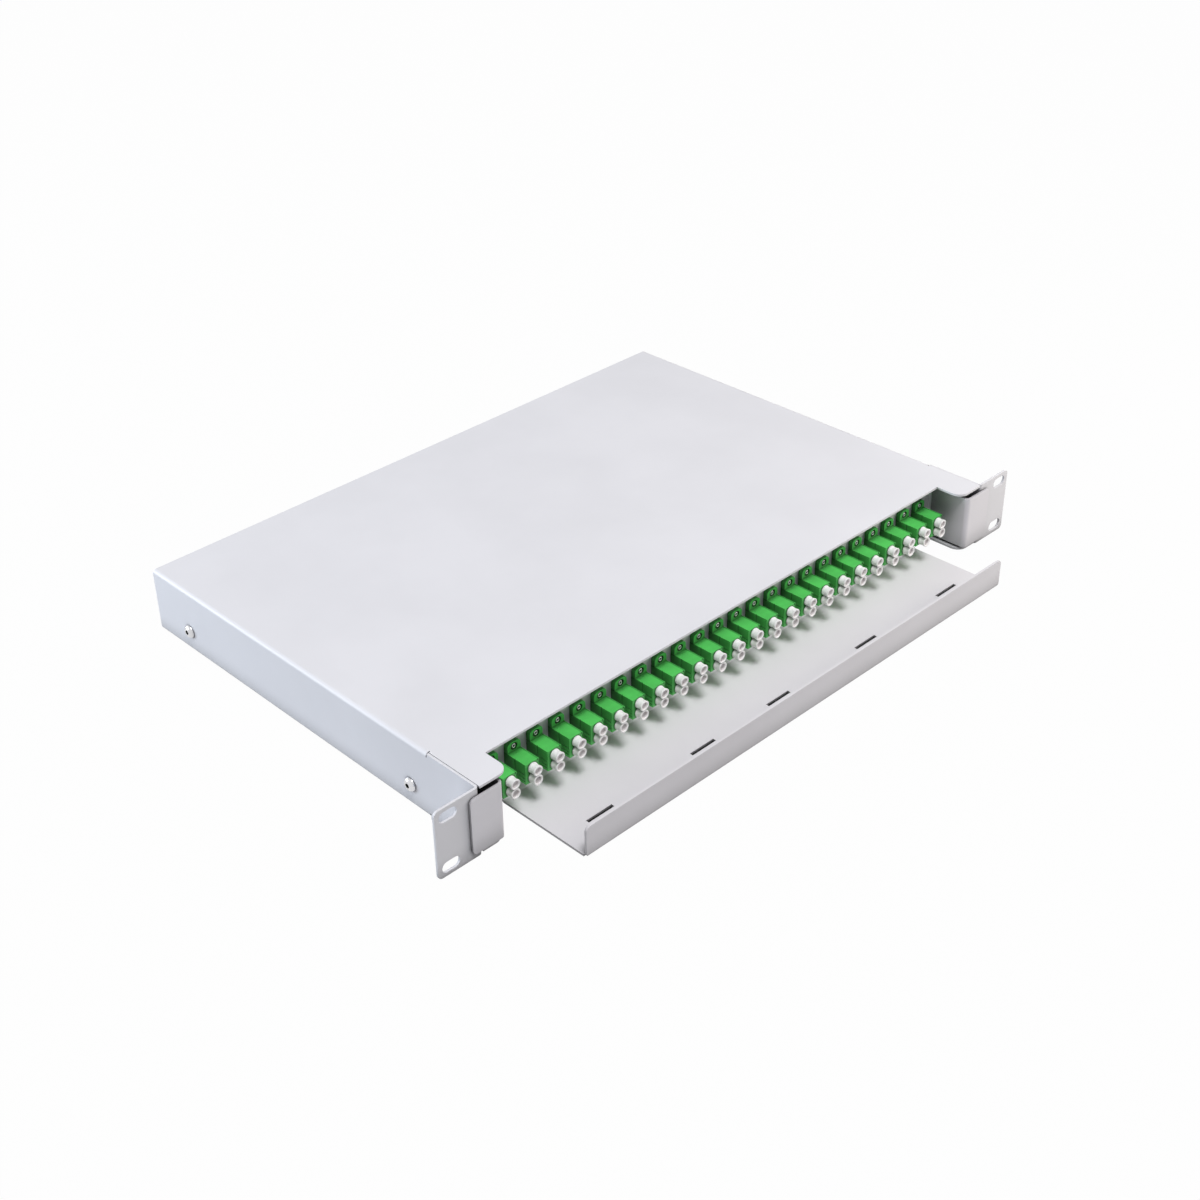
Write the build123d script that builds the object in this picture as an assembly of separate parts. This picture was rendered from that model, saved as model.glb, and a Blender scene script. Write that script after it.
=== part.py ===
from build123d import *
import os

os.makedirs("parts", exist_ok=True)

# All sizes are in millimetres. The origin is the centre of the ears' front plane,
# x runs to the right as seen from the front, y to the back and z up.

# Rack ears
rack_width = 482.6
ear_height = 43.0
ear_corner = 3.0
slot_edge = 8.75
slot_rise = 31.75
slot_length = 11.8
slot_height = 6.6

# Casing
ear_reach = 28.3
casing_depth = 295.0
casing_height = 42.2
casing_top = 21.7
sheet = 1.5
bend = 1.75
wing_reach = 20.3
notch_depth = 18.4
wing_corner = 7.0
wing_gap = 0.15
return_width = 17.5
relief_start = 39.0
relief_width = 0.8
relief_reach = 1.2
relief_drop = 2.6

# Base plate and rear panel
base_sheet = 1.0
base_gap = 1.0
base_edge_gap = 1.3
rear_corner = 1.2
rear_flange = 8.0
entry_z = 1.0
entry_radius = 10.2
entry_sides = 16
entry_fit = 0.05

# Grommets
grommet_bore = 7.0
grommet_rim = 13.0
grommet_lip = 2.0
grommet_depth = 2.5

# Side screws
screw_front = 54.5
screw_rear = 8.2
screw_z = -6.5
screw_radius = 2.0
screw_fit = 0.05
screw_clearance = 0.3
screw_sides = 12
head_radius = 4.9
head_height = 2.7
head_rim = 1.1
head_flat = 3.0
socket_size = 3.0
socket_depth = 1.6

# Drawer walls, flanges and adapter panel
slide_room = 13.0
drawer_half_height = 17.5
flange_front = -1.85
flange_reach = 20.9
flange_corner = 3.0
flange_bend = 2.25
panel_front = 27.0
foot_length = 9.0
foot_inset = 11.0

# Drawer tray
floor_drop = 3.1
joggle_gap = 1.0
joggle_length = 4.5
tray_inset = 19.0
floor_inset = 2.0
widen_length = 3.0
lip_front = -41.2
lip_top = -0.9
lip_corner = 3.0
tray_rear_room = 33.0
tray_wall_top = 14.0
tray_wall_start = 29.2
tray_wall_foot = 8.0
tray_wall_corner = 6.0
slot_ends = (28.5, 27.5)
slot_middles = (-70.5, -7.5, 71.5)
slot_row_y = -22.0
tie_slot_length = 18.7
tie_slot_width = 2.2
cable_inset = 52.0
notch_width = 64.0
notch_floor = -11.0

# Adapters
adapter_count = 24
adapter_margin = 14.4375
bank_size = 4
body_width = 9.3
body_height = 12.8
body_front = 10.5
body_back = 39.2
flange_thick = 3.0
flange_height = 25.0
flange_chamfer = 1.4
cutout_gap = 0.1
port_pitch = 6.25
port_size = 4.7
port_depth = 8.0

# Dust caps
plug_gap = 0.15
plug_length = 6.0
cap_gap = 0.1
cap_sides = 8
neck_radius = 2.6
rim_radius = 3.1
rim_front = 5.6
rim_wall = 0.35
cup_bottom_radius = 2.1
cup_depth = 2.2
inner_cap_length = 4.0

# Telescopic slides
slide_front = 19.0
slide_rear_room = 26.0
slide_sheet = 1.2
slide_corner = 0.8
slide_half_height = 11.0
outer_reach = 9.0
lip_gap = 0.1
outer_lip_end = 8.5
middle_start = 2.0
middle_reach = 10.5
middle_half_height = 8.4
middle_lip_end = 6.1
inner_start = 4.6
inner_half_height = 6.0
strip_gap = 0.08
strip_side_gap = 0.3
strip_length = 100.0
strip_margin = 3.0
buffer_length = 3.9
buffer_gap = 0.1
buffer_reach = 11.5
buffer_half_height = 7.0

# Splice cassette
cassette_half = 80.0
cassette_length = 100.0
cassette_rear_room = 50.0
cassette_height = 11.0
cassette_wall = 1.6
cassette_corner = 14.0
cassette_entry = 16.0
cassette_entry_x = 50.0
lid_thick = 1.5
lid_rim = 1.4
lid_rim_wall = 1.4
lid_fit = 0.15
holder_x = (-22.0, 22.0)
holder_width = 34.0
holder_length = 44.0
holder_height = 6.0
holder_grooves = 4
groove_width = 4.2
groove_depth = 4.2

# Fibre guides and tie bars
guide_inset = 42.0
guide_rear_room = 57.0
guide_radius = 30.0
guide_wall = 1.6
guide_height = 16.0
guide_hook = 7.0
bar_rear_room = 18.0
bar_half = 24.0
bar_foot = 9.0
bar_height = 7.0
bar_depth = 10.0

# Places that follow from the sizes above
slot_x = rack_width / 2 - slot_edge
side_outer = rack_width / 2 - ear_reach
side_inner = side_outer - sheet
notch_half = side_inner - wing_reach
return_edge = side_outer - return_width
bottom = casing_top - casing_height
base_top = bottom + sheet + base_sheet
floor_top = sheet - drawer_half_height
wall_face = side_inner - slide_room
wall_inner = wall_face - sheet
flange_edge = wall_face + flange_reach
foot_half = wall_inner - foot_inset
tray_half = wall_inner - tray_inset
floor_half = wall_inner - floor_inset
cable_x = wall_inner - cable_inset
panel_back = panel_front + sheet
joggle_end = panel_front - joggle_gap
tray_back = casing_depth - tray_rear_room
slide_back = casing_depth - slide_rear_room
screw_y = (screw_front, slide_back - screw_rear)
member_back = slide_back - buffer_length - buffer_gap
cassette_back = tray_back - cassette_rear_room
cassette_front = cassette_back - cassette_length
cassette_middle = (cassette_front + cassette_back) / 2
cassette_top = floor_top + cassette_height


def slab(x0, x1, y0, y1, z0, z1):
    """A block between the given limits."""
    middle = Pos((x0 + x1) / 2, (y0 + y1) / 2, (z0 + z1) / 2)
    return middle * Box(x1 - x0, y1 - y0, z1 - z0)


def both_sides(shape):
    """The shape and its mirror image on the other side of the middle plane."""
    return [shape, mirror(shape, about=Plane.YZ)]


def folded(plane, points, radius, thickness, length):
    """A bent sheet: a rounded line given its thickness and drawn out to a length."""
    line = FilletPolyline(*points, radius=radius)
    return extrude(plane * trace(line, line_width=thickness), amount=length)


def across(y, points, radius, thickness, length):
    """A bent sheet whose outline lies in x and z, running backward from y."""
    plane = Plane((0, y, 0), x_dir=(1, 0, 0), z_dir=(0, -1, 0))
    return folded(plane, points, radius, thickness, -length)


def upright(z, points, radius, thickness, length):
    """A bent sheet whose outline lies in x and y, rising from z."""
    return folded(Plane((0, 0, z)), points, radius, thickness, length)


def sideways(points, radius, thickness, half):
    """A bent sheet whose outline lies in y and z, running across both sides."""
    plane = Plane((-half, 0, 0), x_dir=(0, 1, 0), z_dir=(1, 0, 0))
    return folded(plane, points, radius, thickness, 2 * half)


def facing_front(y0, y1, outline):
    """A flat outline in x and z drawn from y0 to y1."""
    plane = Plane((0, y0, 0), x_dir=(1, 0, 0), z_dir=(0, -1, 0))
    return extrude(plane * outline, amount=y0 - y1)


def corners(plane, radius, sides):
    """The corners of a regular outline that lies on the plane."""
    turn = 360 / sides
    places = [Rot(0, 0, turn * (i + 1 / 2)) * Pos(radius, 0) for i in range(sides)]
    return [(plane.location * place).position for place in places]


def flat_sided(one, other):
    """A solid with flat sides between two outlines that have as many corners."""
    faces = [Face(Wire.make_polygon(one)), Face(Wire.make_polygon(other))]
    for i in range(len(one)):
        side = [one[i - 1], one[i], other[i], other[i - 1]]
        faces.append(Face(Wire.make_polygon(side)))
    return Solid(Shell(faces))


def casing_section():
    """The casing behind the reliefs: top, sides and bottom returns, bent from one sheet."""
    half = side_outer - sheet / 2
    top = casing_top - sheet / 2
    low = bottom + sheet / 2
    points = [
        (-return_edge, low),
        (-half, low),
        (-half, top),
        (half, top),
        (half, low),
        (return_edge, low),
    ]
    start = relief_start + relief_width
    return across(start, points, bend, sheet, casing_depth - start)


def top_front():
    """The front of the top sheet with its notch and two rounded wings."""
    half = side_inner - wing_gap
    end = relief_start + relief_width
    points = [
        (-half, 0),
        (-notch_half, 0),
        (-notch_half, notch_depth),
        (notch_half, notch_depth),
        (notch_half, 0),
        (half, 0),
        (half, end),
        (-half, end),
    ]
    outline = make_face(Polyline(*points, close=True))
    corners = [v for v in outline.vertices() if abs(v.Y) < sheet and abs(v.X) < half - sheet]
    outline = fillet(corners, wing_corner)
    return extrude(Plane((0, 0, casing_top - sheet)) * outline, amount=sheet)


def bottom_wing():
    """The right bottom return ahead of the relief, with one rounded corner."""
    half = side_inner - wing_gap
    end = relief_start + relief_width
    points = [(return_edge, 0), (half, 0), (half, end), (return_edge, end)]
    outline = make_face(Polyline(*points, close=True))
    corner = [v for v in outline.vertices() if v.X < half - sheet and v.Y < sheet]
    outline = fillet(corner, wing_corner)
    return extrude(Plane((0, 0, bottom)) * outline, amount=sheet)


def ear():
    """The right ear with the piece of side wall it is bent from."""
    wall = side_outer - sheet / 2
    points = [(rack_width / 2, sheet / 2), (wall, sheet / 2), (wall, relief_start)]
    plate = upright(-ear_height / 2, points, bend, sheet, ear_height)
    outline = RectangleRounded(rack_width, ear_height, ear_corner)
    return plate & facing_front(0, relief_start, outline)


def side_link():
    """The side wall between the two reliefs, where the ear piece joins the casing."""
    start = relief_start - sheet
    end = relief_start + relief_width + sheet
    low = bottom + relief_drop
    return slab(side_inner, side_outer, start, end, low, casing_top - relief_drop)


def relief_cuts():
    """The slits at the ends of the top and bottom bends on the right."""
    end = relief_start + relief_width
    inside = side_inner - relief_reach
    high = slab(inside, side_outer + sheet, relief_start, end, casing_top - relief_drop, casing_top + sheet)
    low = slab(inside, side_outer + sheet, relief_start, end, bottom - sheet, bottom + relief_drop)
    return [high, low]


def rack_slots():
    """The four slotted holes for the rack bolts."""
    hole = SlotOverall(slot_length, slot_height)
    places = [
        (x, z)
        for x in (-slot_x, slot_x)
        for z in (-slot_rise / 2, slot_rise / 2)
    ]
    return [facing_front(-sheet, 2 * sheet, Pos(x, z) * hole) for x, z in places]


def cross_pin(radius, x0, x1, y):
    """A many-sided pin or hole along x, at the height of the side screws."""
    plane = Plane((x0, y, screw_z), x_dir=(0, 1, 0), z_dir=(1, 0, 0))
    outline = RegularPolygon(radius, screw_sides, rotation=180 / screw_sides)
    return extrude(plane * outline, amount=x1 - x0)


def casing_shell():
    """The casing with wings, returns and ears as one folded sheet."""
    shell = casing_section() + top_front()
    shell += both_sides(bottom_wing())
    shell += both_sides(ear())
    shell += both_sides(side_link())
    for cut in relief_cuts():
        shell -= both_sides(cut)
    shell -= rack_slots()
    for y in screw_y:
        hole = cross_pin(screw_radius + screw_clearance, side_inner - sheet, side_outer + sheet, y)
        shell -= both_sides(hole)
    return shell


def base_plate():
    """The flat plate that closes the casing from below, lying on the returns."""
    half = side_inner - base_edge_gap
    front = panel_front + base_gap
    return slab(-half, half, front, casing_depth, bottom + sheet, base_top)


def rear_panel():
    """The rear wall with forward flanges on both sides and two cable entries."""
    half = side_inner - sheet / 2
    back = casing_depth - sheet / 2
    front = casing_depth - rear_flange
    points = [(-half, front), (-half, back), (half, back), (half, front)]
    height = casing_top - sheet - base_top
    panel = upright(base_top, points, bend, sheet, height)
    trimmed = chamfer(Rectangle(2 * side_inner, height).vertices(), rear_corner)
    panel &= facing_front(front, casing_depth, Pos(0, base_top + height / 2) * trimmed)
    for x in (-cable_x, cable_x):
        entry = Pos(x, entry_z) * RegularPolygon(entry_radius, entry_sides)
        panel -= facing_front(front, casing_depth, entry)
    return panel


def grommet(x):
    """A flanged ring seated in a cable entry from behind."""
    plane = Plane((x, casing_depth, entry_z), x_dir=(1, 0, 0), z_dir=(0, -1, 0))
    spigot = RegularPolygon(entry_radius - entry_fit, entry_sides) - Circle(grommet_bore)
    rim = RegularPolygon(grommet_rim, entry_sides) - Circle(grommet_bore)
    ring = extrude(plane * spigot, amount=grommet_depth)
    return ring + extrude(plane * rim, amount=-grommet_lip)


def side_screw(y):
    """A button-head socket screw through the right casing side."""
    shank = cross_pin(screw_radius, side_inner - slide_sheet, side_outer, y)
    collar = cross_pin(head_radius, side_outer, side_outer + head_rim, y)
    plane = Plane((side_outer, y, screw_z), x_dir=(0, 1, 0), z_dir=(1, 0, 0))
    foot = corners(plane.offset(head_rim), head_radius, screw_sides)
    crown = corners(plane.offset(head_height), head_flat, screw_sides)
    screw = shank + collar + flat_sided(foot, crown)
    socket = RegularPolygon(socket_size / 2, 6, major_radius=False)
    return screw - extrude(plane.offset(head_height) * socket, amount=-socket_depth)


def channel(web, edge, half_height, end):
    """A slide member on the right side: half a tube with cut corners, open at its edges."""
    reach = edge - web
    tube = chamfer(Rectangle(2 * abs(reach), 2 * half_height).vertices(), slide_corner)
    tube -= offset(tube, amount=-slide_sheet, kind=Kind.INTERSECTION)
    kept = Pos(reach / 2) * Rectangle(abs(reach), 2 * half_height)
    return Pos(side_inner - edge, 0, screw_z) * facing_front(slide_front, end, tube & kept)


def lips(reach, half_height, lip_end, end):
    """The two lips along the open edges of a slide member."""
    x0 = side_inner - reach
    x1 = x0 + slide_sheet
    high = slab(x0, x1, slide_front, end, screw_z + lip_end, screw_z + half_height)
    low = slab(x0, x1, slide_front, end, screw_z - half_height, screw_z - lip_end)
    return [high, low]


def slide_outer():
    """The fixed member, screwed to the casing side."""
    member = channel(0, outer_reach, slide_half_height, slide_back)
    member += lips(outer_reach, slide_half_height, outer_lip_end, slide_back)
    for y in screw_y:
        member -= cross_pin(screw_radius + screw_fit, side_inner - 2 * slide_sheet, side_inner + sheet, y)
    return member


def slide_middle():
    """The middle member, which runs inside the fixed one."""
    member = channel(middle_start, middle_reach, middle_half_height, member_back)
    return member + lips(middle_reach, middle_half_height, middle_lip_end, member_back)


def slide_inner():
    """The inner member on the drawer wall, which runs inside the middle one."""
    return channel(slide_room, inner_start, inner_half_height, member_back)


def strip(u0, u1, v0, v1, y0):
    """One bearing strip on the right, above or below the middle of the slide."""
    x0 = side_inner - u1
    x1 = side_inner - u0
    return slab(x0, x1, y0, y0 + strip_length, screw_z + v0, screw_z + v1)


def bearing_strips():
    """The strips clipped to a middle member, outside at its back and inside at its front."""
    race = slide_half_height - slide_sheet
    outer_u0 = slide_sheet + strip_side_gap
    outer_u1 = outer_reach - slide_sheet - strip_side_gap
    inner_u0 = middle_start + slide_sheet + strip_side_gap
    inner_u1 = middle_reach - slide_sheet - strip_side_gap
    back = member_back - strip_margin - strip_length
    front = slide_front + strip_margin
    inside = middle_half_height - slide_sheet
    low = inner_half_height + strip_gap
    return [
        strip(outer_u0, outer_u1, middle_half_height, race - strip_gap, back),
        strip(outer_u0, outer_u1, strip_gap - race, -middle_half_height, back),
        strip(max(inner_u0, inner_start), inner_u1, low, inside, front),
        strip(max(inner_u0, inner_start), inner_u1, -inside, -low, front),
    ]


def slide_buffer():
    """The soft stop at the back of the fixed member."""
    x0 = side_inner - buffer_reach
    x1 = side_inner - slide_sheet
    y0 = slide_back - buffer_length
    return slab(x0, x1, y0, slide_back, screw_z - buffer_half_height, screw_z + buffer_half_height)


def adapter_places():
    """The x of every adapter, from left to right."""
    last = wall_inner - adapter_margin
    pitch = 2 * last / (adapter_count - 1)
    return [pitch * i - last for i in range(adapter_count)]


def adapter_panel():
    """The drawer's upright panel with its forward walls and outward flanges."""
    wall = wall_face - sheet / 2
    front = flange_front + sheet / 2
    back = panel_front + sheet / 2
    points = [
        (-flange_edge, front),
        (-wall, front),
        (-wall, back),
        (wall, back),
        (wall, front),
        (flange_edge, front),
    ]
    panel = upright(-drawer_half_height, points, flange_bend, sheet, 2 * drawer_half_height)
    outline = RectangleRounded(2 * flange_edge, 2 * drawer_half_height, flange_corner)
    panel &= facing_front(flange_front, panel_back, outline)
    below = slab(-floor_half - sheet, floor_half + sheet, 0, panel_back, -drawer_half_height, floor_top)
    panel -= below
    for x in adapter_places():
        opening = Rectangle(body_width + cutout_gap, body_height + cutout_gap)
        panel -= facing_front(panel_front, panel_back, Pos(x, 0) * opening)
    return panel + panel_foot()


def panel_foot():
    """The flange along the panel's bottom edge that lies on the drawer floor."""
    return slab(-foot_half, foot_half, panel_front, panel_back + foot_length, floor_top, floor_top + sheet)


def tray_sheet():
    """The tray seen from the side: lip, front floor, step, drawer floor and rear wall."""
    low = floor_top - sheet / 2 - floor_drop
    high = floor_top - sheet / 2
    front = lip_front + sheet / 2
    back = tray_back - sheet / 2
    points = [
        (front, lip_top),
        (front, low),
        (joggle_end - joggle_length, low),
        (joggle_end, high),
        (back, high),
        (back, tray_wall_top),
    ]
    return sideways(points, bend, sheet, floor_half)


def tray_plan():
    """The tray's outline from above: a narrow front that widens at the panel."""
    widen_start = panel_front - widen_length
    points = [
        (-tray_half, lip_front),
        (tray_half, lip_front),
        (tray_half, widen_start),
        (floor_half, panel_front),
        (floor_half, tray_back),
        (-floor_half, tray_back),
        (-floor_half, panel_front),
        (-tray_half, widen_start),
    ]
    outline = make_face(Polyline(*points, close=True))
    return extrude(Plane((0, 0, bottom - sheet)) * outline, amount=casing_height)


def lip_corners():
    """What is cut from the lip to round its four corners."""
    low = floor_top - sheet - floor_drop
    height = lip_top - low
    reach = bend + sheet / 2
    block = slab(-floor_half, floor_half, lip_front - sheet, lip_front + reach, low - sheet, lip_top + sheet)
    outline = Pos(0, low + height / 2) * RectangleRounded(2 * tray_half, height, lip_corner)
    return block - facing_front(lip_front - sheet, lip_front + reach, outline)


def tray_wall():
    """The drawer's right side wall, bent up from the floor behind the panel."""
    wall = wall_face - sheet / 2
    level = floor_top - sheet / 2
    points = [(wall - tray_wall_foot, level), (wall, level), (wall, tray_wall_top)]
    length = tray_back - sheet - tray_wall_start
    side = across(tray_wall_start, points, bend, sheet, length)
    corner = side.edges().filter_by(Axis.X).group_by(Axis.Z)[-1]
    return chamfer(corner, tray_wall_corner)


def rear_notch():
    """The cut in the rear wall through which a cable reaches the drawer."""
    x0 = cable_x - notch_width / 2
    return slab(x0, x0 + notch_width, tray_back - 2 * sheet, tray_back + sheet, notch_floor, casing_top)


def drawer_tray():
    """The drawer floor with the front cable tray, side walls and notched rear wall."""
    tray = tray_sheet() & tray_plan()
    tray -= lip_corners()
    tray += both_sides(tray_wall())
    tray -= both_sides(rear_notch())
    low = floor_top - sheet - floor_drop
    left, right = slot_ends
    for x in (left - tray_half, *slot_middles, tray_half - right):
        x0 = x - tie_slot_length / 2
        y0 = slot_row_y - tie_slot_width / 2
        tray -= slab(x0, x0 + tie_slot_length, y0, y0 + tie_slot_width, low - sheet, low + 2 * sheet)
    return tray


def adapter(x):
    """A duplex adapter: a body, a mounting flange, two front ports and two rear ports."""
    half = body_width / 2
    high = body_height / 2
    outline = chamfer(Rectangle(body_width, flange_height).vertices(), flange_chamfer)
    shape = slab(-half, half, body_front, body_back, -high, high)
    shape += facing_front(panel_front - flange_thick, panel_front, outline)
    port = port_size / 2
    for z in (-port_pitch / 2, port_pitch / 2):
        shape -= slab(-port, port, body_front, body_front + port_depth, z - port, z + port)
        shape -= slab(-port, port, body_back - port_depth, body_back, z - port, z + port)
    return Pos(x, 0, 0) * shape


def ring(y, radius):
    """The corners of the cap's many-sided outline at one place along its length."""
    plane = Plane((0, y, 0), x_dir=(1, 0, 0), z_dir=(0, -1, 0))
    return corners(plane, radius, cap_sides)


def cap(z):
    """A dust cap: a flared cup and the square plug that enters the port."""
    seat = body_front - cap_gap
    shape = flat_sided(ring(rim_front, rim_radius), ring(seat, neck_radius))
    inside = ring(rim_front, rim_radius - rim_wall)
    shape -= flat_sided(inside, ring(rim_front + cup_depth, cup_bottom_radius))
    half = port_size / 2 - plug_gap
    plug = slab(-half, half, seat, seat + plug_length, -half, half)
    return Pos(0, 0, z) * (shape + plug)


def cap_pair(x):
    """The two caps of one adapter."""
    pair = [Pos(x, 0, 0) * cap(z) for z in (-port_pitch / 2, port_pitch / 2)]
    return Compound(children=pair)


def inner_cap(x, z):
    """A plain square plug in a rear port."""
    half = port_size / 2 - plug_gap
    end = body_back + inner_cap_length
    return slab(x - half, x + half, body_back - plug_length, end, z - half, z + half)


def cassette_outline(grow):
    """The outline of the splice cassette with cut corners, grown or shrunk on every side."""
    sharp = Rectangle(2 * cassette_half, cassette_back - cassette_front)
    outline = chamfer(sharp.vertices(), cassette_corner)
    if grow:
        outline = offset(outline, amount=grow, kind=Kind.INTERSECTION)
    return Pos(0, cassette_middle) * outline


def cassette_base():
    """The open splice cassette with its cable entries."""
    tub = extrude(Plane((0, 0, floor_top)) * cassette_outline(0), amount=cassette_height)
    hollow = Plane((0, 0, floor_top + cassette_wall)) * cassette_outline(-cassette_wall)
    tub -= extrude(hollow, amount=cassette_height)
    front = cassette_front - sheet
    back = cassette_back + sheet
    for x in (-cassette_entry_x, cassette_entry_x):
        x0 = x - cassette_entry / 2
        x1 = x + cassette_entry / 2
        tub -= slab(x0, x1, front, back, floor_top + cassette_wall, cassette_top + sheet)
    return tub


def cassette_lid():
    """The flat lid with a low rim that fits inside the cassette wall."""
    lid = extrude(Plane((0, 0, cassette_top)) * cassette_outline(0), amount=lid_thick)
    outer = cassette_outline(-cassette_wall - lid_fit)
    inner = cassette_outline(-cassette_wall - lid_fit - lid_rim_wall)
    rim = extrude(Plane((0, 0, cassette_top - lid_rim)) * (outer - inner), amount=lid_rim)
    return lid + rim


def splice_holder(x):
    """A comb that holds the splices in parallel grooves."""
    base = floor_top + cassette_wall
    top = base + holder_height
    left = x - holder_width / 2
    y0 = cassette_middle - holder_length / 2
    y1 = y0 + holder_length
    block = slab(left, left + holder_width, y0, y1, base, top)
    step = holder_width / holder_grooves
    for i in range(holder_grooves):
        x0 = left + step * (i + 1 / 2) - groove_width / 2
        block -= slab(x0, x0 + groove_width, y0, y1, top - groove_depth, top)
    return block


def fibre_guide(x, y, turn):
    """A quarter-round wall with one hook over the fibre."""
    ring_wall = Circle(guide_radius) - Circle(guide_radius - guide_wall)
    quarter = ring_wall & Pos(guide_radius / 2, guide_radius / 2) * Rectangle(guide_radius, guide_radius)
    guide = extrude(Plane((0, 0, floor_top)) * quarter, amount=guide_height)
    inner = guide_radius - guide_wall
    top = floor_top + guide_height
    half = guide_hook / 2
    hook = slab(inner - guide_hook, inner + guide_wall / 2, -half, half, top - guide_wall, top)
    return Pos(x, y, 0) * Rot(0, 0, turn) * (guide + Rot(0, 0, 45) * hook)


def tie_bar(x):
    """A bridge on the drawer floor to which an incoming cable is tied."""
    inside = bar_half - bar_foot
    outline = Pos(x, sheet / 2) * Rectangle(2 * bar_half, sheet)
    outline += Pos(x, (bar_height + sheet) / 2) * Rectangle(2 * inside, bar_height + sheet)
    outline -= Pos(x, bar_height / 2) * Rectangle(2 * (inside - sheet), bar_height)
    front = tray_back - bar_rear_room
    return Pos(0, 0, floor_top) * facing_front(front, front + bar_depth, outline)


def save(name, shapes):
    """Write one piece, or a group of equal pieces, to its own file."""
    shape = Compound(children=list(shapes)) if isinstance(shapes, (list, tuple)) else shapes
    export_step(shape, f"parts/{name}.step")


def save_pair(name, right):
    """Write a right-hand piece and its mirror image."""
    save(name + "_right", right)
    save(name + "_left", mirror(right, about=Plane.YZ))


def paired(shapes):
    """Each right-hand piece together with its mirror image."""
    return [one for shape in shapes for one in both_sides(shape)]


def save_casing():
    save("casing_shell", casing_shell())
    save("base_plate", base_plate())
    save("rear_panel", rear_panel())
    save("cable_grommets", [grommet(x) for x in (-cable_x, cable_x)])
    save("side_screws", paired([side_screw(y) for y in screw_y]))


def save_slides():
    save_pair("slide_outer", slide_outer())
    save_pair("slide_middle", slide_middle())
    save_pair("slide_inner", slide_inner())
    save("slide_strips", paired(bearing_strips()))
    save("slide_buffers", paired([slide_buffer()]))


def save_drawer():
    save("adapter_panel", adapter_panel())
    save("drawer_tray", drawer_tray())
    save("cassette_base", cassette_base())
    save("cassette_lid", cassette_lid())
    save("splice_holders", [splice_holder(x) for x in holder_x])
    guide_x = wall_inner - guide_inset
    guide_y = tray_back - guide_rear_room
    save("fibre_guides", [fibre_guide(guide_x, guide_y, 0), fibre_guide(-guide_x, guide_y, 90)])
    save("tie_bars", paired([tie_bar(cable_x)]))


def save_adapters():
    places = adapter_places()
    for bank in range(adapter_count // bank_size):
        group = places[bank * bank_size:(bank + 1) * bank_size]
        save(f"adapters_{bank + 1}", [adapter(x) for x in group])
    for number, x in enumerate(places, start=1):
        save(f"dust_caps_{number:02d}", cap_pair(x))
    heights = (-port_pitch / 2, port_pitch / 2)
    save("inner_dust_caps", [inner_cap(x, z) for x in places for z in heights])


save_casing()
save_slides()
save_drawer()
save_adapters()
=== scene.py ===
"""The looks of a sliding fibre patch panel: finer pieces, materials, light and camera."""

import math

import bmesh
import bpy
from mathutils import Matrix, Vector

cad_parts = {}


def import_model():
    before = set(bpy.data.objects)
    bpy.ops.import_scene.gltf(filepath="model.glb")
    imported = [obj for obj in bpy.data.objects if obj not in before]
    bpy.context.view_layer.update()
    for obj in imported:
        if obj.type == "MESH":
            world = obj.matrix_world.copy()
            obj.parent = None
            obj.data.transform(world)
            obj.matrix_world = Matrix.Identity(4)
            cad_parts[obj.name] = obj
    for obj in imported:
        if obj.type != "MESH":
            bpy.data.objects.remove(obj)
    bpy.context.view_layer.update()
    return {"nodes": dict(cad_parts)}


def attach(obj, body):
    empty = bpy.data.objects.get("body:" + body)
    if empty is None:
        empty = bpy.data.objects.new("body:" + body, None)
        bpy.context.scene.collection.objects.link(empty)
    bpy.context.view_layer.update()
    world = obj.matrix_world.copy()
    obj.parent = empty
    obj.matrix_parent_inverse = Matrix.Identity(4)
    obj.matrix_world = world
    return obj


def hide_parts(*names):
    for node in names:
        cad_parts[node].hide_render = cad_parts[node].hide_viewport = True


MM = 0.001

# Camera, found from points of the photograph, in millimetres, degrees and pixels
PHOTO = 1200
SENSOR = 36.0
CAMERA_PLACE = (-650.38, -536.41, 575.42)
CAMERA_AZIMUTH = -41.64
CAMERA_ELEVATION = 31.59
CAMERA_ROLL = -2.35
CAMERA_FOCAL = 1773.81
CAMERA_CENTRE = (527.45, 564.72)
CLIP_START = 0.01
CLIP_END = 20

# Adapters: the body, its ports and its flange, in millimetres
ADAPTER_PITCH = 15.875
ADAPTER_COUNT = 24
BANK_SIZE = 4
BODY_FRONT = 10.5
BODY_BACK = 39.2
BODY_HALF_WIDTH = 4.65
BODY_HALF_HEIGHT = 6.4
PANEL_FRONT = 27.0
FLANGE_THICK = 3.0
FLANGE_HALF_HEIGHT = 12.5
PORT_RISE = 3.125
PORT_HALF = 2.35
RIVET_RISE = 9.35
PORT_SHOWN = 4.0
BODY_EDGE = 0.16
BODY_EDGE_ANGLE = 50
RIVET_SLOT = 1
# Slot of the near-black painted shade in the rivet bores and on the recess floors
HOLLOW_SHADE_SLOT = 2
LATCH_HALF = 1.3
LATCH_HEIGHT = 1.5
GROOVE_DEPTH = 0.35
SEAM_FRONT = 18.3
SEAM_BACK = 18.75
RIDGE_FRONT = 11.3
RIDGE_BACK = 16.4
RIDGE_GROOVES = ((-4.8, -4.3), (-3.0, -2.5), (-0.4, 0.1))
TAB_CORNER = 2.6
TAB_CORNER_STEPS = 4
TAB_ROOT = 0.6
RECESS_RADIUS = 2.3
RECESS_DEPTH = 0.9
RIVET_SIDES = 24
RIVET_PROFILE = (
    (0.7, 0.05),
    (0.7, -0.5),
    (0.8, -0.7),
    (1.02, -0.78),
    (1.28, -0.68),
    (1.45, -0.4),
    (1.45, 0.05),
)
RIVET_BORE = ((0.0, -0.02), (0.72, -0.02))
RIM_WIDTH = 0.45
RIM_HEIGHT = 0.22
RIM_HOOK = 0.5
RIM_DROP = 1.1
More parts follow.
